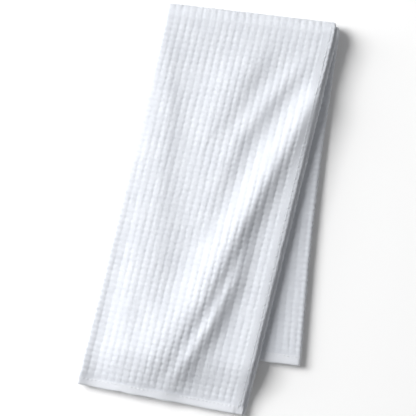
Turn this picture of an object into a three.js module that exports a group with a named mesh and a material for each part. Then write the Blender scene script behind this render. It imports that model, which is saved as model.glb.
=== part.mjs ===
// A ribbed cotton golf towel, put down folded: three panels deep along its length, like a letter Z,
// then once across the middle, so a skewed front leaf lies over a back leaf and past its end.
// Millimetres, +Z up. The fold across the middle is at +Y and the front leaf's free end at -Y.
import * as THREE from 'three';

// The cloth, as it is sewn
const clothWidth = 410;
const clothLength = 590;
const clothThickness = 2.4;
const sideHemWidth = 5;
const sideHemThickness = 1.2;
const frontHemLength = 7;
const backHemLength = 8;
const endHemThickness = 1.2;
const threadWidth = 0.6;
const threadHeight = 0.3;
const threadInset = 1.6; // from the cloth's side of a hem to the middle of its stitching
const seamGap = 0.3; // clearance between one sewn piece and the next

// How it is folded in three
const layerGap = 0.8; // air between two panels of one leaf
const outerSetback = 3.5; // the outer panel's free edge, in from the fold beside it
const innerSetback = 0.5; // the inner panel's free edge, in from the other fold

// How it is folded across
const crossFoldRadius = 2; // inside the fold
const frontOverhang = 42; // how much longer the front leaf is than the back leaf
const frontSkewDegrees = 7.1; // the front leaf turned from square to the fold
const rowTiltDegrees = 4.1; // the front leaf's end turned from parallel to the fold
const backShift = 1.5; // the back leaf, to the right of the front leaf at the fold
const edgeBow = 3; // how far the back leaf's right edge bows in
const restGap = 1.2; // air between the leaves, where the label lies
const settleRun = 45; // length over which the front leaf comes down from the fold
const droopRun = 38; // distance in which the front leaf comes down past the back leaf's edges

// The care label, sewn to the back end hem and lying between the leaves
const labelWidth = 32;
const labelLength = 24;
const labelThickness = 0.5;
const labelFromLeft = 55;

// Wrinkles pulled into the front leaf: [share of width, share of length, height, half width]
const mainWrinkle = [
  [0.94, 0.17, 2.5, 8],
  [0.81, 0.34, 6, 11],
  [0.69, 0.53, 8, 14],
  [0.59, 0.72, 8, 17],
  [0.46, 0.87, 5, 19],
  [0.33, 1.0, 2, 20],
];
const upperWrinkle = [
  [0.9, 0.04, 1, 7],
  [0.72, 0.17, 2.5, 9],
  [0.58, 0.3, 3, 10],
  [0.5, 0.52, 1.5, 11],
];
const innerPanelShare = 0.35; // how much of a wrinkle the innermost layer takes up

// Mesh steps. The front leaf's are short enough for it to come down round the back leaf's edges
// without cutting across them.
const frontStep = 11;
const frontRowStep = 13.7;
const backStep = 36;
const backRowStep = 33;
const crossFoldSteps = 8;
const letterFoldSteps = 4;

// What follows from those sizes
const layerPitch = clothThickness + layerGap;
const leafHeight = clothThickness + 2 * layerPitch;
const letterRadius = layerPitch / 2;
const letterReach = letterRadius + clothThickness / 2;
const flatCloth = clothWidth - 2 * Math.PI * letterRadius;
const leafWidth = (flatCloth + 4 * letterReach + outerSetback + innerSetback) / 3;
const middleHeight = leafHeight / 2;
const crossFoldReach = crossFoldRadius + leafHeight;
const crossFoldHeight = leafHeight + crossFoldRadius;
const bothLeaves = clothLength - Math.PI * (crossFoldRadius + middleHeight);
const backLength = (bothLeaves - frontOverhang) / 2;
const skew = THREE.MathUtils.degToRad(frontSkewDegrees);
const rowTilt = THREE.MathUtils.degToRad(rowTiltDegrees);
const frontLength = backLength + frontOverhang - (leafWidth * Math.sin(rowTilt)) / 2;
const frontColumns = Math.ceil((leafWidth - 2 * letterReach) / frontStep);
const backColumns = Math.ceil((leafWidth - 2 * letterReach) / backStep);
const frontRows = Math.ceil(frontLength / frontRowStep);
const backRows = Math.ceil(backLength / backRowStep);

const smooth = (t) => THREE.MathUtils.smoothstep(t, 0, 1);

// Height of one wrinkle at a spot on the leaf: a bell-shaped ridge along its crest line.
function wrinkleHeight(crest, across, along) {
  const spot = new THREE.Vector2(across, along);
  let best = { distance: Infinity };
  for (let i = 1; i < crest.length; i += 1) {
    const [u0, v0, height0, half0] = crest[i - 1];
    const [u1, v1, height1, half1] = crest[i];
    const start = new THREE.Vector2(u0 * leafWidth, v0 * frontLength);
    const step = new THREE.Vector2(u1 * leafWidth, v1 * frontLength).sub(start);
    const share = THREE.MathUtils.clamp(spot.clone().sub(start).dot(step) / step.lengthSq(), 0, 1);
    const distance = spot.distanceTo(start.clone().addScaledVector(step, share));
    if (distance < best.distance) {
      const height = THREE.MathUtils.lerp(height0, height1, share);
      const half = THREE.MathUtils.lerp(half0, half1, share);
      best = { distance, height, half };
    }
  }
  return best.height * Math.exp(-((best.distance / best.half) ** 2));
}

// Places on the towel. across: from the leaf's left fold; height: from the face on the other leaf;
// along: from the fold across the middle.
function onBackLeaf(across, height, along) {
  const bow = edgeBow * (across / leafWidth) * Math.sin((Math.PI * along) / backLength);
  const x = backShift + across - bow;
  return new THREE.Vector3(x, -crossFoldReach - along, leafHeight - height);
}

function onFrontLeaf(across, height, along) {
  const tilt = (rowTilt * along) / frontLength;
  const x = across * Math.cos(tilt) - along * Math.sin(skew);
  const y = -crossFoldReach - along * Math.cos(skew) - across * Math.sin(tilt);
  const pastEnd = Math.max(0, -y - crossFoldReach - backLength);
  const pastSide = Math.max(0, backShift - x);
  const down = smooth(Math.hypot(pastEnd, pastSide) / droopRun);
  const settle = (2 * crossFoldRadius - restGap) * smooth(along / settleRun);
  const underside = (leafHeight + 2 * crossFoldRadius - settle) * (1 - down);
  const share = THREE.MathUtils.lerp(innerPanelShare, 1, height / leafHeight);
  const lift = wrinkleHeight(mainWrinkle, across, along) + wrinkleHeight(upperWrinkle, across, along);
  const grow = smooth(along / settleRun);
  return new THREE.Vector3(x, y, underside + height + lift * share * grow);
}

// The fold across the middle, where along is the angle from the back leaf to the front leaf.
function onCrossFold(across, height, along) {
  const radius = crossFoldRadius + height;
  const turned = (1 + Math.sin(along)) / 2;
  const x = across + backShift * (1 - turned);
  const y = -crossFoldReach + radius * Math.cos(along);
  return new THREE.Vector3(x, y, crossFoldHeight + radius * Math.sin(along));
}

// The middle of the cloth across one leaf, from the outer panel's free edge to the inner panel's,
// with the direction that faces out where the towel lies open.
function letterPath(columns, outerEdge, innerEdge) {
  const [outerHeight, innerHeight] = [middleHeight + layerPitch, middleHeight - layerPitch];
  const leftTurn = letterReach;
  const rightTurn = leafWidth - letterReach;
  const path = [];
  const straight = (from, to, height, count, out) => {
    for (let i = 0; i < count; i += 1) {
      path.push({ a: THREE.MathUtils.lerp(from, to, i / count), h: height, na: 0, nh: out });
    }
  };
  const bend = (centre, height, side) => {
    for (let i = 0; i < letterFoldSteps; i += 1) {
      const angle = (Math.PI * i) / letterFoldSteps;
      const [na, nh] = [side * Math.sin(angle), Math.cos(angle)];
      const out = side < 0 ? 1 : -1;
      const a = centre + letterRadius * na;
      path.push({ a, h: height + letterRadius * nh, na: na * out, nh: nh * out });
    }
  };
  straight(outerEdge, leftTurn, outerHeight, columns, 1);
  bend(leftTurn, middleHeight + letterRadius, -1);
  straight(leftTurn, rightTurn, middleHeight, columns, -1);
  bend(rightTurn, middleHeight - letterRadius, 1);
  straight(rightTurn, innerEdge, innerHeight, columns, 1);
  path.push({ a: innerEdge, h: innerHeight, na: 0, nh: 1 });
  return path;
}

// A closed outline that follows the path between two offsets from it.
function letterBand(columns, low, high, outerEdge, innerEdge) {
  const path = letterPath(columns, outerEdge, innerEdge);
  const at = (offset) => (p) => new THREE.Vector2(p.a + p.na * offset, p.h + p.nh * offset);
  return [...path.map(at(high)), ...path.map(at(low)).reverse()];
}

function rectangle(left, right, low, high) {
  return [
    new THREE.Vector2(left, low),
    new THREE.Vector2(right, low),
    new THREE.Vector2(right, high),
    new THREE.Vector2(left, high),
  ];
}

function steps(from, to, count) {
  return Array.from({ length: count + 1 }, (_, i) => THREE.MathUtils.lerp(from, to, i / count));
}

// Sweeps a closed outline through the given places along the towel and caps both ends. The
// outline runs out along one side of a band and back along the other, a point for each point.
function sweep(outline, stations, place) {
  const position = stations.flatMap((along) => {
    return outline.flatMap((p) => place(p.x, p.y, along).toArray());
  });
  const size = outline.length;
  const index = [];
  for (let row = 0; row + 1 < stations.length; row += 1) {
    for (let i = 0; i < size; i += 1) {
      const [near, next] = [row * size + i, row * size + ((i + 1) % size)];
      index.push(near, next, next + size, near, next + size, near + size);
    }
  }
  const last = (stations.length - 1) * size;
  for (let i = 0; i + 1 < size / 2; i += 1) {
    const [near, next, farNext, far] = [i, i + 1, size - 2 - i, size - 1 - i];
    index.push(far, farNext, next, far, next, near);
    index.push(last + near, last + next, last + farNext, last + near, last + farNext, last + far);
  }
  const geometry = new THREE.BufferGeometry();
  geometry.setAttribute('position', new THREE.Float32BufferAttribute(position, 3));
  geometry.setIndex(signedVolume(position, index) > 0 ? index : index.reverse());
  geometry.computeVertexNormals();
  return geometry;
}

function signedVolume(position, index) {
  const corner = (i) => new THREE.Vector3().fromArray(position, 3 * i);
  let total = 0;
  for (let i = 0; i < index.length; i += 3) {
    const [p, q, r] = [corner(index[i]), corner(index[i + 1]), corner(index[i + 2])];
    total += p.dot(q.cross(r)) / 6;
  }
  return total;
}

const cotton = { color: 0xe9edf5, roughness: 0.95, metalness: 0 };
const hemCotton = { color: 0xf0f1f5, roughness: 0.85, metalness: 0 };
const thread = { color: 0xf4f4f6, roughness: 0.6, metalness: 0 };
const ribbon = { color: 0xf6f6f6, roughness: 0.5, metalness: 0 };

const towel = new THREE.Group();

function add(name, geometry, finish) {
  const mesh = new THREE.Mesh(geometry, new THREE.MeshStandardMaterial(finish));
  mesh.name = name;
  towel.add(mesh);
}

// Edges of the pieces across a leaf. The outer side hem's face and the inner one's are level
// with the middle of their own panels.
const outerEdge = leafWidth - outerSetback;
const innerEdge = innerSetback;
const outerClothEdge = outerEdge - sideHemWidth - seamGap;
const innerClothEdge = innerEdge + sideHemWidth + seamGap;
const outerPanel = middleHeight + layerPitch;
const innerPanel = middleHeight - layerPitch;
const halfCloth = clothThickness / 2;
const halfSideHem = sideHemThickness / 2;
const halfEndHem = endHemThickness / 2;

// A leaf's own pieces. along runs from the cross fold to the leaf's end.
function addLeaf(side, place, columns, rows, length, hemLength) {
  const clothEnd = length - hemLength - seamGap;
  const along = steps(seamGap, clothEnd, rows);
  const cloth = letterBand(columns, -halfCloth, halfCloth, outerClothEdge, innerClothEdge);
  add(`${side}_leaf_cloth`, sweep(cloth, along, place), cotton);

  const hem = letterBand(columns, -halfEndHem, halfEndHem, outerEdge, innerEdge);
  add(`${side}_end_hem`, sweep(hem, steps(length - hemLength, length, 2), place), hemCotton);
  const low = halfEndHem + seamGap;
  const seam = letterBand(columns, low, low + threadHeight, outerEdge - seamGap, innerEdge + seamGap);
  const seamAt = length - hemLength + threadInset;
  const seamAlong = steps(seamAt - threadWidth / 2, seamAt + threadWidth / 2, 1);
  add(`${side}_end_hem_thread`, sweep(seam, seamAlong, place), thread);

  addSideHem(`${side}_outer_side_hem`, outerEdge - sideHemWidth, outerPanel, 1, along, place);
  addSideHem(`${side}_inner_side_hem`, innerEdge, innerPanel, -1, along, place);
}

// A hem along one free edge, and the thread laid on its outer face. inward is the cloth's side.
function addSideHem(name, left, height, edge, along, place) {
  const hem = rectangle(left, left + sideHemWidth, height - halfSideHem, height + halfSideHem);
  add(name, sweep(hem, along, place), hemCotton);
  const seam = edge > 0 ? left + threadInset : left + sideHemWidth - threadInset;
  const low = height + halfSideHem + seamGap;
  const half = threadWidth / 2;
  const line = rectangle(seam - half, seam + half, low, low + threadHeight);
  add(`${name}_thread`, sweep(line, along, place), thread);
}

addLeaf('back', onBackLeaf, backColumns, backRows, backLength, backHemLength);
addLeaf('front', onFrontLeaf, frontColumns, frontRows, frontLength, frontHemLength);

const foldAngles = steps(-Math.PI / 2, Math.PI / 2, crossFoldSteps);
const foldCloth = letterBand(backColumns, -halfCloth, halfCloth, outerClothEdge, innerClothEdge);
add('top_fold_cloth', sweep(foldCloth, foldAngles, onCrossFold), cotton);
addSideHem('top_fold_outer_side_hem', outerEdge - sideHemWidth, outerPanel, 1, foldAngles, onCrossFold);
addSideHem('top_fold_inner_side_hem', innerEdge, innerPanel, -1, foldAngles, onCrossFold);

// The label lies on the back leaf's inner panel, its sewn edge on the end hem.
const labelEnd = backLength - backHemLength + threadInset + threadWidth;
const labelBand = rectangle(labelFromLeft, labelFromLeft + labelWidth, -seamGap - labelThickness, -seamGap);
add('care_label', sweep(labelBand, steps(labelEnd - labelLength, labelEnd, 1), onBackLeaf), ribbon);

// The towel stands on the middle of its box's underside.
const box = new THREE.Box3().setFromObject(towel);
const centre = box.getCenter(new THREE.Vector3());
towel.position.set(-centre.x, -centre.y, -box.min.z);

export default towel;
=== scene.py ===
import math

import bmesh
import bpy
import numpy as np
from mathutils import Matrix, Vector


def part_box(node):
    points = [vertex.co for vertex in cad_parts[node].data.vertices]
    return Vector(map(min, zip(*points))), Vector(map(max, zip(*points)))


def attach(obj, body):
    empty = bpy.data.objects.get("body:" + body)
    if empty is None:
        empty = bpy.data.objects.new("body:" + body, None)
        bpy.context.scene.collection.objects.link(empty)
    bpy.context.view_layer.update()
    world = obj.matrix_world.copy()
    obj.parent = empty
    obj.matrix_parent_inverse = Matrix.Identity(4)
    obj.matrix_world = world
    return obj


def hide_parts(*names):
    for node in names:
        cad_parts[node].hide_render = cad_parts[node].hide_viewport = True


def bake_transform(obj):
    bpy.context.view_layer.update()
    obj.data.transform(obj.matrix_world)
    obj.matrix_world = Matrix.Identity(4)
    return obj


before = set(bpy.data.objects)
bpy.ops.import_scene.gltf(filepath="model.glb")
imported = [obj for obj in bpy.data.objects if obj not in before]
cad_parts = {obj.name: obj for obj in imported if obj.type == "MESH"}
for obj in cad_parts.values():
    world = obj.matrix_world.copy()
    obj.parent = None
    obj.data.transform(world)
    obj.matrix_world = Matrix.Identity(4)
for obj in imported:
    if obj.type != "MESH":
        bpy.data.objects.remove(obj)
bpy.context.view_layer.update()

scene = bpy.context.scene
mm = 0.001

print("towel: reading the frame")
foldLow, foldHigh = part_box("top_fold_cloth")
backLow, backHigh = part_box("back_leaf_cloth")

# sizes of the sewn and folded cloth, in metres
towel = {
    "width": 410 * mm,
    "length": 590 * mm,
    "layerGap": 0.8 * mm,
    "outerSetback": 3.5 * mm,
    "innerSetback": 0.5 * mm,
    "crossFoldRadius": 2 * mm,
    "frontOverhang": 42 * mm,
    "skew": math.radians(7.1),
    "rowTilt": math.radians(4.1),
    "backShift": 1.5 * mm,
    "edgeBow": 3 * mm,
    "restGap": 1.2 * mm,
    "settleRun": 45 * mm,
    "droopRun": 38 * mm,
    "sideHem": 5 * mm,
    "frontHem": 7 * mm,
    "backHem": 8 * mm,
    "hemLap": 0.8 * mm,  # how far the woven cloth goes in between the layers of an end hem
    "innerShare": 0.35,  # how much of a wrinkle the innermost layer takes up
}

leafHeight = backHigh.z - backLow.z
thickness = (leafHeight - 2 * towel["layerGap"]) / 3
layerPitch = thickness + towel["layerGap"]
letterRadius = layerPitch / 2
letterReach = letterRadius + thickness / 2
middleHeight = leafHeight / 2
crossReach = towel["crossFoldRadius"] + leafHeight
crossHeight = leafHeight + towel["crossFoldRadius"]
leftEdge = foldLow.x
foldEdge = foldHigh.y
flatCloth = towel["width"] - 2 * math.pi * letterRadius
leafWidth = (flatCloth + 4 * letterReach + towel["outerSetback"] + towel["innerSetback"]) / 3
outerEdge = leafWidth - towel["outerSetback"]
bothLeaves = towel["length"] - math.pi * (towel["crossFoldRadius"] + middleHeight)
backLength = (bothLeaves - towel["frontOverhang"]) / 2
frontLength = backLength + towel["frontOverhang"] - leafWidth * math.sin(towel["rowTilt"]) / 2

# crest of each wrinkle on the front leaf: share of width, share of length, height, half width
# on the left and on the right, in millimetres
wrinkles = {
    "main": [
        (0.94, 0.17, 3, 9, 8),
        (0.82, 0.34, 7.4, 13, 10.5),
        (0.7, 0.53, 9.4, 16, 11.5),
        (0.59, 0.72, 9, 19, 13),
        (0.46, 0.87, 6, 21, 15.5),
        (0.33, 1.0, 2, 20, 20),
    ],
    "upper": [
        (0.9, 0.04, 1, 7, 7),
        (0.72, 0.17, 2.5, 9, 8),
        (0.58, 0.3, 3, 10, 9),
        (0.5, 0.52, 1.5, 11, 11),
    ],
    "besideMain": [
        (0.78, 0.56, 0.6, 5, 7),
        (0.75, 0.66, 3.8, 6, 8),
        (0.68, 0.78, 5.4, 6.5, 8),
        (0.58, 0.9, 3.6, 7, 9),
        (0.5, 1.0, 1, 9, 10),
    ],
    "shoulder": [(0.6, 0.02, 2.4, 20, 11), (0.53, 0.13, 3.2, 20, 12), (0.45, 0.26, 1.4, 18, 12)],
    "leftUpper": [(0.03, 0.04, 0.9, 9, 7), (0.15, 0.25, 1.3, 9, 8), (0.22, 0.5, 0.7, 9, 8)],
    "centre": [(0.4, 0.17, 0.8, 12, 16), (0.44, 0.36, 1.5, 13, 15), (0.42, 0.52, 0.6, 13, 15)],
    "leftLower": [(0.0, 0.4, 1.2, 9, 8), (0.0, 0.56, 3.6, 9, 9), (0.0, 0.8, 4.4, 9, 9), (0.0, 1.0, 3, 9, 9)],
    "lowCentre": [(0.23, 0.48, 0.8, 13, 15), (0.29, 0.66, 2, 14, 15), (0.36, 0.84, 1.4, 13, 15)],
    "rightRim": [(0.95, 0.1, 1.8, 12, 7), (0.935, 0.55, 2.2, 13, 7), (0.93, 0.97, 1.8, 13, 8)],
}


def smooth(t):
    t = np.clip(t, 0, 1)
    return t * t * (3 - 2 * t)


# bell-shaped ridge along a crest line
def ridge(crest, across, along):
    best = np.full(across.shape, np.inf)
    lift = np.zeros(across.shape)
    for (u0, v0, h0, l0, r0), (u1, v1, h1, l1, r1) in zip(crest, crest[1:]):
        x0, y0 = u0 * leafWidth, v0 * frontLength
        dx, dy = (u1 - u0) * leafWidth, (v1 - v0) * frontLength
        run = dx * dx + dy * dy
        share = np.clip(((across - x0) * dx + (along - y0) * dy) / run, 0, 1)
        offX, offY = across - x0 - share * dx, along - y0 - share * dy
        distance = np.hypot(offX, offY)
        onRight = offX * dy - offY * dx > 0
        half = np.where(onRight, r0 + (r1 - r0) * share, l0 + (l1 - l0) * share) * mm
        height = (h0 + (h1 - h0) * share) * mm
        here = height * np.exp(-((distance / half) ** 2))
        lift = np.where(distance < best, here, lift)
        best = np.minimum(best, distance)
    return lift


# places on the towel: across from the leaf's left fold, height from the face on the other leaf,
# along from the fold across the middle
def onBackLeaf(across, height, along):
    bow = towel["edgeBow"] * across / leafWidth * np.sin(math.pi * along / backLength)
    x = leftEdge + towel["backShift"] + across - bow
    return x, foldEdge - crossReach - along, leafHeight - height


def onFrontLeaf(across, height, along):
    tilt = towel["rowTilt"] * along / frontLength
    x = across * np.cos(tilt) - along * math.sin(towel["skew"])
    y = -crossReach - along * math.cos(towel["skew"]) - across * np.sin(tilt)
    pastEnd = np.maximum(0, -y - crossReach - backLength)
    pastSide = np.maximum(0, towel["backShift"] - x)
    down = smooth(np.hypot(pastEnd, pastSide) / towel["droopRun"])
    grow = smooth(along / towel["settleRun"])
    settle = (2 * towel["crossFoldRadius"] - towel["restGap"]) * grow
    underside = (leafHeight + 2 * towel["crossFoldRadius"] - settle) * (1 - down)
    share = towel["innerShare"] + (1 - towel["innerShare"]) * height / leafHeight
    lift = sum(ridge(crest, across, along) for crest in wrinkles.values())
    return leftEdge + x, foldEdge + y, underside + height + lift * share * grow


# along goes from 0 at the back leaf to 1 at the front leaf
def onCrossFold(across, height, along):
    angle = math.pi * (along - 0.5)
    radius = towel["crossFoldRadius"] + height
    shift = towel["backShift"] * (1 - np.sin(angle)) / 2
    return (
        leftEdge + across + shift,
        foldEdge - crossReach + radius * np.cos(angle),
        crossHeight + radius * np.sin(angle),
    )


# the middle of the cloth at s from the outer panel's free edge, and the way its outer side faces
def letterPath(s):
    leftTurn, rightTurn = letterReach, leafWidth - letterReach
    arc = math.pi * letterRadius
    ends = np.cumsum([outerEdge - leftTurn, arc, rightTurn - leftTurn, arc])
    first = np.clip((s - ends[0]) / arc, 0, 1) * math.pi
    second = np.clip((s - ends[2]) / arc, 0, 1) * math.pi
    high, low = middleHeight + letterRadius, middleHeight - letterRadius
    parts = [s < ends[0], s < ends[1], s < ends[2], s < ends[3]]
    leftBend = leftTurn - letterRadius * np.sin(first)
    rightBend = rightTurn + letterRadius * np.sin(second)
    acrossParts = [outerEdge - s, leftBend, leftTurn + s - ends[1], rightBend]
    across = np.select(parts, acrossParts, rightTurn - (s - ends[3]))
    bends = [high + letterRadius * np.cos(first), low + letterRadius * np.cos(second)]
    heights = [high + letterRadius + 0 * s, bends[0], middleHeight + 0 * s, bends[1]]
    height = np.select(parts, heights, low - letterRadius)
    outAcross = np.select(parts, [0 * s, -np.sin(first), 0 * s, -np.sin(second)], 0)
    outHeight = np.select(parts, [1 + 0 * s, np.cos(first), -1 + 0 * s, -np.cos(second)], 1)
    return across, height, outAcross, outHeight


# a spot at s across the cloth, off the middle of it towards its outer side
def onCloth(place, s, along, off):
    across, height, outAcross, outHeight = letterPath(s)
    return np.stack(place(across + outAcross * off, height + outHeight * off, along), axis=-1)


print("towel: materials")


# cotton with a fuzzy surface, finer yarns in it and a little unevenness of colour
def cottonMaterial(name, look):
    material = bpy.data.materials.new(name)
    material.use_nodes = True
    tree = material.node_tree
    shader = tree.nodes["Principled BSDF"]
    shader.inputs["Roughness"].default_value = look["roughness"]
    shader.inputs["Sheen Weight"].default_value = look["sheen"]
    shader.inputs["Sheen Roughness"].default_value = look["sheenRoughness"]
    shader.inputs["Specular IOR Level"].default_value = look["gloss"]
    uv = tree.nodes.new("ShaderNodeUVMap")
    uv.uv_map = "UVMap"
    fibre = tree.nodes.new("ShaderNodeTexNoise")
    fibre.inputs["Scale"].default_value = look["fibreScale"]
    fibre.inputs["Detail"].default_value = look["fibreDetail"]
    fibre.inputs["Roughness"].default_value = look["fibreRoughness"]
    patches = tree.nodes.new("ShaderNodeTexNoise")
    patches.inputs["Scale"].default_value = look["patchScale"]
    patches.inputs["Detail"].default_value = look["patchDetail"]
    yarn = tree.nodes.new(look["yarnNode"])
    yarn.inputs["Scale"].default_value = look["yarnScale"]
    for node in (fibre, patches, yarn):
        tree.links.new(uv.outputs["UV"], node.inputs["Vector"])
    blend = tree.nodes.new("ShaderNodeMath")
    blend.operation = "MULTIPLY_ADD"
    blend.inputs[1].default_value = 0.5
    tree.links.new(patches.outputs["Fac"], blend.inputs[0])
    halfFibre = tree.nodes.new("ShaderNodeMath")
    halfFibre.operation = "MULTIPLY"
    halfFibre.inputs[1].default_value = 0.5
    tree.links.new(fibre.outputs["Fac"], halfFibre.inputs[0])
    tree.links.new(halfFibre.outputs["Value"], blend.inputs[2])
    tint = tree.nodes.new("ShaderNodeValToRGB")
    tint.color_ramp.elements[0].position = look["shadeBelow"]
    tint.color_ramp.elements[0].color = (*look["shade"], 1)
    tint.color_ramp.elements[1].position = look["colourAbove"]
    tint.color_ramp.elements[1].color = (*look["colour"], 1)
    tree.links.new(blend.outputs["Value"], tint.inputs["Fac"])
    tree.links.new(tint.outputs["Color"], shader.inputs["Base Color"])
    yarnBump = tree.nodes.new("ShaderNodeBump")
    yarnBump.inputs["Strength"].default_value = look["yarnBump"]
    yarnBump.inputs["Distance"].default_value = look["yarnDepth"]
    tree.links.new(yarn.outputs[look["yarnOutput"]], yarnBump.inputs["Height"])
    fuzz = tree.nodes.new("ShaderNodeBump")
    fuzz.inputs["Strength"].default_value = look["fuzz"]
    fuzz.inputs["Distance"].default_value = look["fuzzDepth"]
    tree.links.new(fibre.outputs["Fac"], fuzz.inputs["Height"])
    tree.links.new(yarnBump.outputs["Normal"], fuzz.inputs["Normal"])
    tree.links.new(fuzz.outputs["Normal"], shader.inputs["Normal"])
    return material


waffleLook = {
    "colour": (0.73, 0.755, 0.80),
    "shade": (0.66, 0.685, 0.735),
    "shadeBelow": 0.35,  # noise below this has the shade
    "colourAbove": 0.65,  # and above this the colour
    "roughness": 0.95,
    "sheen": 0.15,
    "sheenRoughness": 0.5,
    "gloss": 0.2,
    "fibreScale": 2200,
    "fibreDetail": 4,
    "fibreRoughness": 0.65,
    "patchScale": 60,
    "patchDetail": 2,
    "yarnNode": "ShaderNodeTexVoronoi",  # small loops of yarn
    "yarnOutput": "Distance",
    "yarnScale": 1500,
    "yarnBump": 0.5,
    "yarnDepth": 0.22 * mm,
    "fuzz": 0.5,
    "fuzzDepth": 0.26 * mm,
}
hemLook = {
    **waffleLook,
    "colour": (0.76, 0.78, 0.82),
    "shade": (0.71, 0.73, 0.775),
    "roughness": 0.9,
    "yarnNode": "ShaderNodeTexWave",  # flat woven rows
    "yarnOutput": "Fac",
    "yarnScale": 420,
    "yarnBump": 0.3,
    "yarnDepth": 0.12 * mm,
    "fuzz": 0.35,
    "fuzzDepth": 0.2 * mm,
}
threadLook = {
    **hemLook,
    "colour": (0.78, 0.795, 0.83),
    "shade": (0.72, 0.735, 0.77),
    "roughness": 0.6,
    "gloss": 0.35,
    "yarnScale": 900,
    "yarnDepth": 0.04 * mm,
    "fuzz": 0.08,
}
ribbonLook = {
    **hemLook,
    "colour": (0.84, 0.84, 0.85),
    "shade": (0.80, 0.80, 0.82),
    "roughness": 0.5,
    "sheen": 0.3,
    "gloss": 0.45,
    "yarnScale": 700,
    "yarnDepth": 0.05 * mm,
    "fuzz": 0.1,
}
turnedLook = {**waffleLook, "colour": (0.735, 0.76, 0.805), "shade": (0.66, 0.685, 0.735)}
waffle = cottonMaterial("waffleCotton", waffleLook)
turnedCotton = cottonMaterial("turnedCotton", turnedLook)  # the cloth itself, turned over for a side hem
hemCotton = cottonMaterial("hemCotton", hemLook)
sewingThread = cottonMaterial("sewingThread", threadLook)
labelRibbon = cottonMaterial("labelRibbon", ribbonLook)

print("towel: woven panels")

weave = {
    "ribs": 72,  # between the two side hems
    "cell": 4.75 * mm,  # length of one bead along a rib
    "core": 0.36 * mm,  # half thickness at the bottom of a pit
    "relief": 0.738 * mm,  # from there to the top of a rib
    "crown": 0.36,  # the lower it is, the flatter the top of a rib and the narrower its groove
    "bridge": 0.85,  # how far the cross threads fill a groove
    "bead": 0.27,  # how much a rib dips between two beads
    "foldBead": 0.62,  # and how much more where the cloth turns at a fold
    "slack": 0.45,  # how much the grooves differ in depth
    "uneven": 0.12,  # how much the beads differ in height
    "wander": 0.3 * mm,  # how far a bead strays sideways
    "fuzz": 0.05 * mm,
    "fuzzPerRib": 6,  # spots of fuzz across a rib
    "fuzzPerBead": 4,  # and along a bead
    "foldReach": 0.9,  # how many ribs on each side a lengthwise fold opens
    "hemFade": 1.25,  # how fast the beads die out towards a side hem
    "seamRow": 0.9,  # how much of its row a leaf's seam takes up
    "endHalf": 0.62 * mm,  # half thickness where the cloth goes into an end hem
    "sideHalf": 0.95 * mm,  # and where it goes into a side hem
}
ribPitch = (towel["width"] - 2 * towel["sideHem"]) / weave["ribs"]
# the rib that lies at the middle of each of the two lengthwise folds
firstTurn = outerEdge - letterReach + math.pi * letterRadius / 2
secondTurn = firstTurn + leafWidth - 2 * letterReach + math.pi * letterRadius
letterTurns = [(turn - towel["sideHem"]) / ribPitch for turn in (firstTurn, secondTurn)]


def hashed(i, j, seed):
    return np.mod(np.sin(i * 12.9898 + j * 78.233 + seed * 37.719) * 43758.5453, 1.0)


# smooth unevenness between -1 and 1, with one knot per unit
def uneven(x, y, seed):
    i, j = np.floor(x), np.floor(y)
    right, down = smooth(x - i), smooth(y - j)
    near = hashed(i, j, seed) * (1 - right) + hashed(i + 1, j, seed) * right
    far = hashed(i, j + 1, seed) * (1 - right) + hashed(i + 1, j + 1, seed) * right
    return 2 * (near * (1 - down) + far * down) - 1


# half thickness of the woven cloth, with rib and cell counted in whole ribs and beads; full is 0
# at a seam, where the beads die out, and 1 away from it
def wafflePattern(rib, cell, full):
    crown = np.abs(np.sin(math.pi * rib)) ** weave["crown"]
    bar = 1 - (0.5 - 0.5 * np.cos(2 * math.pi * cell)) * full
    slack = 1 + weave["slack"] * uneven(rib + 0.5, cell * 0.45, 7) * full
    pit = np.clip((1 - crown) * (1 - weave["bridge"] * bar) * slack, 0, 1)
    turns = sum(np.exp(-(((rib - turn) / weave["foldReach"]) ** 2)) for turn in letterTurns)
    dip = (weave["bead"] + weave["foldBead"] * turns) * crown * (1 - bar)
    tall = 1 + weave["uneven"] * uneven(rib * 1.7, cell * 1.3, 1) * full
    spot = np.round(rib * weave["fuzzPerRib"]), np.round(cell * weave["fuzzPerBead"])
    fuzz = weave["fuzz"] * (2 * hashed(*spot, 5) - 1) * full
    woven = weave["core"] + weave["relief"] * (1 - pit - dip) * tall + fuzz
    beside = smooth(weave["hemFade"] * (1 - np.minimum(rib, weave["ribs"] - rib)))
    return woven + (weave["sideHalf"] - woven) * beside


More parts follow.
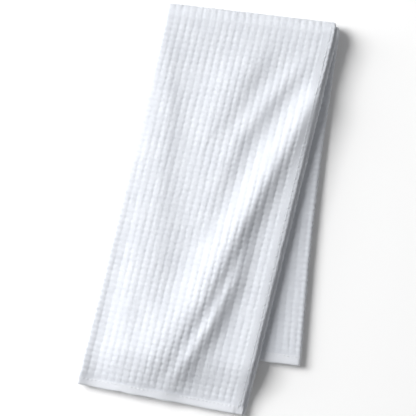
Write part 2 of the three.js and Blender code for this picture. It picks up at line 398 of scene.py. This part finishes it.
# a closed sheet, made flat and then laid: lay(u, v, side) gives the places, side being 1 on the
# outer side of the cloth and -1 on the other, and spread(u, v) the UV coordinates in metres
def laySheet(name, columns, rows, lay, spread, material):
    form = bmesh.new()
    bmesh.ops.create_grid(form, x_segments=columns, y_segments=rows, size=0.5)
    flatFaces = len(form.faces)
    bmesh.ops.solidify(form, geom=form.faces[:], thickness=0.1)
    for rimFace in form.faces[:][2 * flatFaces :]:  # a sharp rim keeps the shading smooth over a seam
        for edge in rimFace.edges:
            edge.smooth = False
    mesh = bpy.data.meshes.new(name)
    form.to_mesh(mesh)
    form.free()
    flat = np.empty(len(mesh.vertices) * 3)
    mesh.vertices.foreach_get("co", flat)
    flat = flat.reshape(-1, 3)
    u, v = flat[:, 0] + 0.5, flat[:, 1] + 0.5
    side = np.where(flat[:, 2] > -0.05, 1, -1)
    mesh.vertices.foreach_set("co", lay(u, v, side).ravel())
    corner = np.empty(len(mesh.loops), int)
    mesh.loops.foreach_get("vertex_index", corner)
    mesh.uv_layers.new(name="UVMap")
    mesh.uv_layers[0].data.foreach_set("uv", spread(u[corner], v[corner]).ravel())
    roundFaces = np.arange(len(mesh.polygons)) < 2 * flatFaces
    mesh.polygons.foreach_set("use_smooth", roundFaces)
    mesh.materials.append(material)
    form = bmesh.new()
    form.from_mesh(mesh)
    if form.calc_volume(signed=True) < 0:
        bmesh.ops.reverse_faces(form, faces=form.faces[:])
        form.to_mesh(mesh)
    form.free()
    piece = bpy.data.objects.new(name, mesh)
    scene.collection.objects.link(piece)
    return piece


# rows lie closer together at a seam, so that the pieces on its two sides meet smoothly: a leaf has
# one seam, at the cross fold, and the fold has one at each end
def crowd(v, rows, leaf):
    if leaf:
        return np.maximum(0, v * rows - weave["seamRow"]) / (rows - weave["seamRow"])
    return 0.5 - 0.5 * np.cos(math.pi * v)


# a woven panel between two ribs, with its beads counted from the front leaf's end of the cross
# fold; leaf is 1 on a leaf, whose panels end in an end hem, and 0 on the fold
def makePanel(name, place, ribs, firstCell, lastCell, start, end, columns, rows, leaf):
    firstRib, lastRib = ribs
    cells = abs(lastCell - firstCell)

    def lay(u, v, side):
        v = crowd(v, cells * rows, leaf)
        rib = firstRib + u * (lastRib - firstRib)
        cell = firstCell + v * (lastCell - firstCell)
        half = wafflePattern(rib, cell, smooth(np.minimum(v, 1 - v * (1 - leaf)) * cells))
        half += (weave["endHalf"] - half) * leaf * smooth((v - 1) * cells + 1)
        away = np.minimum(rib - firstRib, lastRib - rib)
        stray = weave["wander"] * smooth(away) * uneven(rib * 0.9, cell * 0.8, 2)
        s = towel["sideHem"] + rib * ribPitch + stray
        return onCloth(place, s, start + v * (end - start), side * half)

    def spread(u, v):
        s = towel["sideHem"] + (firstRib + u * (lastRib - firstRib)) * ribPitch
        down = crowd(v, cells * rows, leaf)
        return np.stack([s, (firstCell + down * (lastCell - firstCell)) * weave["cell"]], axis=1)

    return laySheet(name, (lastRib - firstRib) * columns, cells * rows, lay, spread, waffle)


# ribs of each panel, rows of beads round the cross fold, mesh steps in a rib and in a bead on the
# front leaf and on the back leaf, the layer it lies in, and the tightest layer that it reaches
panels = {
    "Outer": {"ribs": (0, 26), "foldCells": 6, "front": (6, 4), "back": (4, 3), "layer": 2, "bend": 1},
    "Middle": {"ribs": (26, 45), "foldCells": 4, "front": (3, 2), "back": (3, 2), "layer": 1, "bend": 1},
    "Inner": {"ribs": (45, 72), "foldCells": 2, "front": (5, 3), "back": (6, 4), "layer": 0, "bend": 0},
}
frontCloth = frontLength - towel["frontHem"] + towel["hemLap"]
backCloth = backLength - towel["backHem"] + towel["hemLap"]
frontCells = round(frontCloth / weave["cell"])
backCells = round(backCloth / weave["cell"])
foldSteps = 6  # mesh steps in a rib and in a bead on the cross fold
sheets = {}


# the piece's transform is baked into its mesh; onCrossFold has already laid it round the cross fold
def ridesFold(piece):
    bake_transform(piece)


for part, panel in panels.items():
    firstRib, lastRib = panel["ribs"]
    flatWidth = (lastRib - firstRib) * ribPitch
    front = makePanel(
        f"front{part}Panel", onFrontLeaf, panel["ribs"], 0, frontCells, 0, frontCloth, *panel["front"], 1)
    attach(front, "front_leaf")
    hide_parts("front_leaf_cloth")
    seam = -panel["foldCells"]
    back = makePanel(
        f"back{part}Panel", onBackLeaf, panel["ribs"], seam, seam - backCells, 0, backCloth,
        *panel["back"], 1)
    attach(back, "back_leaf")
    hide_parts("back_leaf_cloth")
    fold = makePanel(
        f"topFold{part}Panel", onCrossFold, panel["ribs"], seam, 0, 0, 1, foldSteps, foldSteps, 0)
    turnRadius = towel["crossFoldRadius"] + thickness / 2 + panel["layer"] * layerPitch
    ridesFold(fold)
    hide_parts("top_fold_cloth")
    sheets[f"front{part}"] = (front, (flatWidth, frontCloth))
    sheets[f"back{part}"] = (back, (flatWidth, backCloth))
    sheets[f"topFold{part}"] = (fold, (flatWidth, math.pi * turnRadius))

print("towel: hems")

hem = {
    "half": 0.8 * mm,  # half thickness of an end hem
    "sideHalf": 0.95 * mm,  # and of a side hem
    "rim": 0.2 * mm,  # and at its free edge
    "stitchPitch": 3.2 * mm,
    "threadInset": 1.4 * mm,  # from the cloth's side of a hem to the middle of its stitching
    "dimple": 0.07 * mm,  # how far the stitching pulls the hem in
    "wave": 0.3 * mm,  # unevenness of its edges
    "endWaveRun": 9 * mm,  # length of one wave
    "sideWaveRun": 5 * mm,
    "endRough": 0.08 * mm,  # unevenness of its faces
    "endRoughRun": 6 * mm,
    "sideRough": 0.12 * mm,
    "sideRoughRun": 1.9 * mm,
    "roughRows": 3,  # how often that changes across a hem
    "roll": 0.2 * mm,  # how far an end hem goes up and down
    "rollRun": 14 * mm,
    "endShort": 0.3 * mm,  # how far an end hem stops short of the leaf's length
    "endSteps": (410, 10),  # mesh steps along an end hem and across it
    "sideSteps": 8,  # and across a side hem
    "lineReach": 0.7 * mm,  # how far from its stitching a hem is pulled in
    "scallop": 0.18 * mm,  # how far its edge goes in between two beads
    "beads": 0.26 * mm,  # how far the woven beads still show in a side hem
}


# half thickness across a hem: share is 0 to 1 from the cloth's side, run is along its stitching
def hemPattern(share, run, width, full):
    bulge = np.clip(1 - np.clip(2 * share - 1, 0, 1) ** 4, 0, 1) ** 0.5
    line = np.exp(-(((share * width - hem["threadInset"]) / hem["lineReach"]) ** 2))
    pull = 0.65 + 0.35 * np.cos(2 * math.pi * run / hem["stitchPitch"])
    return hem["rim"] + (full - hem["rim"]) * bulge - hem["dimple"] * line * pull


def makeEndHem(name, place, length, hemLength):
    def lay(u, v, side):
        s = u * towel["width"]
        rough = hem["endRough"] * uneven(s / hem["endRoughRun"], v * hem["roughRows"], 3)
        half = hemPattern(v, s, hemLength, hem["half"]) + rough
        edge = (hem["wave"] * uneven(s / hem["endWaveRun"], 0 * s, 4) - hem["endShort"]) * v
        roll = hem["roll"] * uneven(s / hem["rollRun"], 0 * s, 6)
        return onCloth(place, s, length - hemLength + v * hemLength + edge, side * half + roll)

    def spread(u, v):
        return np.stack([u * towel["width"], v * hemLength], axis=1)

    return laySheet(name, *hem["endSteps"], lay, spread, hemCotton)


# edge is 1 where the cloth is on the greater side of the hem, and -1 at the other edge of the towel
def makeSideHem(name, place, edge, start, end, run, rows, leaf):
    def lay(u, v, side):
        v = crowd(v, rows, leaf)
        inward = u if edge > 0 else 1 - u
        s = u * towel["sideHem"] + (0 if edge > 0 else towel["width"] - towel["sideHem"])
        down = v * run
        beads = -hem["beads"] * np.cos(2 * math.pi * down / weave["cell"]) * (0.4 + 0.6 * inward)
        rough = hem["sideRough"] * uneven(down / hem["sideRoughRun"], u * hem["roughRows"], 9)
        half = hemPattern(1 - inward, down, towel["sideHem"], hem["sideHalf"])
        half += (beads + rough) * np.sin(math.pi * u) ** 2
        stray = hem["wave"] * uneven(down / hem["sideWaveRun"], 0 * s, 8 + edge)
        stray += hem["scallop"] * (1 - np.cos(2 * math.pi * down / weave["cell"])) * edge
        stray *= 1 - inward
        return onCloth(place, s + stray, start + v * (end - start), side * half)

    def spread(u, v):
        return np.stack([u * towel["sideHem"], crowd(v, rows, leaf) * run], axis=1)

    return laySheet(name, hem["sideSteps"], rows, lay, spread, turnedCotton)


foldRadii = {
    "outer": towel["crossFoldRadius"] + thickness / 2 + 2 * layerPitch,
    "inner": towel["crossFoldRadius"] + thickness / 2,
}
leaves = {
    "front": {
        "place": onFrontLeaf,
        "length": frontLength,
        "hem": towel["frontHem"],
        "cloth": frontCloth,
        "cells": frontCells,
    },
    "back": {
        "place": onBackLeaf,
        "length": backLength,
        "hem": towel["backHem"],
        "cloth": backCloth,
        "cells": backCells,
    },
}
for leaf, facts in leaves.items():
    endHem = makeEndHem(f"{leaf}EndHem", facts["place"], facts["length"], facts["hem"])
    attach(endHem, f"{leaf}_leaf")
    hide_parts(f"{leaf}_end_hem")
    for which, edge in (("outer", 1), ("inner", -1)):
        rows = facts["cells"] * panels[which.title()][leaf][1]
        sideHem = makeSideHem(
            f"{leaf}{which.title()}SideHem", facts["place"], edge, 0, facts["cloth"], facts["cloth"],
            rows, 1)
        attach(sideHem, f"{leaf}_leaf")
        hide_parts(f"{leaf}_{which}_side_hem")
for which, edge in (("outer", 1), ("inner", -1)):
    run = math.pi * foldRadii[which]
    rows = panels[which.title()]["foldCells"] * foldSteps
    sideHem = makeSideHem(f"topFold{which.title()}SideHem", onCrossFold, edge, 0, 1, run, rows, 0)
    ridesFold(sideHem)
    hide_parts(f"top_fold_{which}_side_hem")

print("towel: stitches")

stitch = {
    "length": 2.5 * mm,
    "width": 0.6 * mm,
    "height": 0.5 * mm,
    "sunk": 0.16 * mm,
    "aim": 0.5 * mm,  # how far before and after a stitch the spots lie that give its direction
    "foldAim": 0.02,  # the same as a share of the way round the cross fold
    "segments": 6,
    "rings": 4,
}


# one row of stitches on both sides of a hem, each a short rounded thread
def makeStitches(name, place, s, along, ds, dAlong, half):
    form = bmesh.new()
    for side in (1, -1):
        off = side * (half - stitch["sunk"] + stitch["height"] / 2)
        here = onCloth(place, s, along, off)
        before = onCloth(place, s - ds, along - dAlong, off)
        after = onCloth(place, s + ds, along + dAlong, off)
        above = onCloth(place, s, along, off + side * mm)
        for spot, tail, tip, top in zip(here, before, after, above):
            run = Vector(tip - tail).normalized()
            up = Vector(top - spot).normalized()
            turn = Matrix((run, up.cross(run).normalized(), up)).transposed().to_4x4()
            size = Matrix.Diagonal(
                (stitch["length"] / 2, stitch["width"] / 2, stitch["height"] / 2, 1))
            matrix = Matrix.Translation(Vector(spot)) @ turn @ size
            bmesh.ops.create_uvsphere(
                form, u_segments=stitch["segments"], v_segments=stitch["rings"], radius=1, matrix=matrix)
    bmesh.ops.recalc_face_normals(form, faces=form.faces[:])
    mesh = bpy.data.meshes.new(name)
    form.to_mesh(mesh)
    form.free()
    corner = np.empty(len(mesh.loops), int)
    mesh.loops.foreach_get("vertex_index", corner)
    spots = np.empty(len(mesh.vertices) * 3)
    mesh.vertices.foreach_get("co", spots)
    mesh.uv_layers.new(name="UVMap")
    mesh.uv_layers[0].data.foreach_set("uv", spots.reshape(-1, 3)[corner][:, :2].ravel())
    mesh.polygons.foreach_set("use_smooth", np.ones(len(mesh.polygons), bool))
    mesh.materials.append(sewingThread)
    piece = bpy.data.objects.new(name, mesh)
    scene.collection.objects.link(piece)
    return piece


def evenly(run):
    count = max(2, round(run / hem["stitchPitch"]))
    return (np.arange(count) + 0.5) / count


endHalf = hem["half"] - hem["dimple"]
beadHalf = hem["sideHalf"] - hem["dimple"] + hem["beads"] / 3
for leaf, facts in leaves.items():
    s = evenly(towel["width"]) * towel["width"]
    along = np.full(s.shape, facts["length"] - facts["hem"] + hem["threadInset"])
    seam = makeStitches(f"{leaf}EndHemStitches", facts["place"], s, along, stitch["aim"], 0, endHalf)
    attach(seam, f"{leaf}_leaf")
    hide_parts(f"{leaf}_end_hem_thread")
seamAt = towel["sideHem"] - hem["threadInset"]
for which, s in (("outer", seamAt), ("inner", towel["width"] - seamAt)):
    for leaf, facts in leaves.items():
        along = evenly(facts["cloth"]) * facts["cloth"]
        seam = makeStitches(
            f"{leaf}{which.title()}SideHemStitches", facts["place"], np.full(along.shape, s), along,
            0, stitch["aim"], beadHalf)
        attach(seam, f"{leaf}_leaf")
        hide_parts(f"{leaf}_{which}_side_hem_thread")
    turn = evenly(math.pi * foldRadii[which])
    seam = makeStitches(
        f"topFold{which.title()}SideHemStitches", onCrossFold, np.full(turn.shape, s), turn,
        0, stitch["foldAim"], beadHalf)
    ridesFold(seam)
    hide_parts(f"top_fold_{which}_side_hem_thread")

print("towel: care label")

label = {
    "width": 32 * mm,
    "length": 24 * mm,
    "fromLeft": 55 * mm,
    "clear": 0.3 * mm,  # above the back leaf
    "depth": 0.5 * mm,  # both layers together
    "ribbon": 0.16 * mm,
    "pastThread": 0.6 * mm,  # how far its sewn edge goes past the hem's stitching
    "steps": (16, 48),  # mesh steps across it and along it
}
labelEnd = backLength - towel["backHem"] + hem["threadInset"] + label["pastThread"]
labelTurn = (label["depth"] - label["ribbon"]) / 2
labelRun = label["length"] - labelTurn - label["ribbon"] / 2


# the ribbon goes from its sewn edge to its fold and back under itself
def layLabel(u, v, side):
    run = v * (2 * labelRun + math.pi * labelTurn)
    bend = np.clip((run - labelRun) / labelTurn, 0, math.pi)
    back = np.maximum(0, run - labelRun - math.pi * labelTurn)
    along = labelEnd - np.minimum(run, labelRun) - labelTurn * np.sin(bend) + back
    off = side * label["ribbon"] / 2
    middle = label["clear"] + label["depth"] / 2
    height = -(middle + (labelTurn + off) * np.cos(bend))
    across = label["fromLeft"] + u * label["width"]
    return np.stack(onBackLeaf(across, height, along - off * np.sin(bend)), axis=-1)


def spreadLabel(u, v):
    return np.stack([u * label["width"], v * 2 * label["length"]], axis=1)


careLabel = laySheet("careLabel", *label["steps"], layLabel, spreadLabel, labelRibbon)
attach(careLabel, "back_leaf")
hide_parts("care_label")

print("towel: camera and floor")

view = {
    "turn": math.radians(6.7),
    "distance": 1.6,
    "width": 331.1 * mm,  # seen across the picture at the height of a leaf
    "fromLeftEdge": 51.5 * mm,
    "fromFold": 158.3 * mm,
}
camera = bpy.data.objects.new("camera", bpy.data.cameras.new("camera"))
camera.location = (leftEdge + view["fromLeftEdge"], foldEdge - view["fromFold"], view["distance"])
camera.rotation_euler = (0, 0, view["turn"])
camera.data.lens = camera.data.sensor_width * (view["distance"] - leafHeight) / view["width"]
scene.collection.objects.link(camera)
scene.camera = camera

ground = {"colour": (0.965, 0.965, 0.965), "roughness": 0.9, "gloss": 0.1, "size": 6}
floorMaterial = bpy.data.materials.new("paleFloor")
floorMaterial.use_nodes = True
floorShader = floorMaterial.node_tree.nodes["Principled BSDF"]
floorShader.inputs["Base Color"].default_value = (*ground["colour"], 1)
floorShader.inputs["Roughness"].default_value = ground["roughness"]
floorShader.inputs["Specular IOR Level"].default_value = ground["gloss"]
form = bmesh.new()
bmesh.ops.create_grid(form, x_segments=1, y_segments=1, size=ground["size"])
floorMesh = bpy.data.meshes.new("floor")
form.to_mesh(floorMesh)
form.free()
floorMesh.materials.append(floorMaterial)
floor = bpy.data.objects.new("floor", floorMesh)
scene.collection.objects.link(floor)

for name, (panel, flat) in sheets.items():
    leaf = name.removesuffix("Outer").removesuffix("Middle").removesuffix("Inner")

print("towel: lights")

lights = {
    "key": {"place": (-1.9, 1.05, 2.1), "size": 1.5, "power": 106},
    "low": {"place": (-2.3, 0.7, 0.85), "size": 1.2, "power": 21},
    "fill": {"place": (0.9, -1.6, 2.6), "size": 2.5, "power": 9},
}
ambient = 0.17
turned = [math.cos(view["turn"]), math.sin(view["turn"])]
for name, light in lights.items():
    lamp = bpy.data.lights.new(name, "AREA")
    lamp.size = light["size"]
    lamp.energy = light["power"]
    holder = bpy.data.objects.new(name, lamp)
    x, y, z = light["place"]
    holder.location = (x * turned[0] - y * turned[1], x * turned[1] + y * turned[0], z)
    holder.rotation_euler = (-Vector(holder.location)).to_track_quat("-Z", "Y").to_euler()
    scene.collection.objects.link(holder)

world = bpy.data.worlds.new("studio")
world.use_nodes = True
world.node_tree.nodes["Background"].inputs["Color"].default_value = (1, 1, 1, 1)
world.node_tree.nodes["Background"].inputs["Strength"].default_value = ambient
scene.world = world
scene.view_settings.view_transform = "Standard"
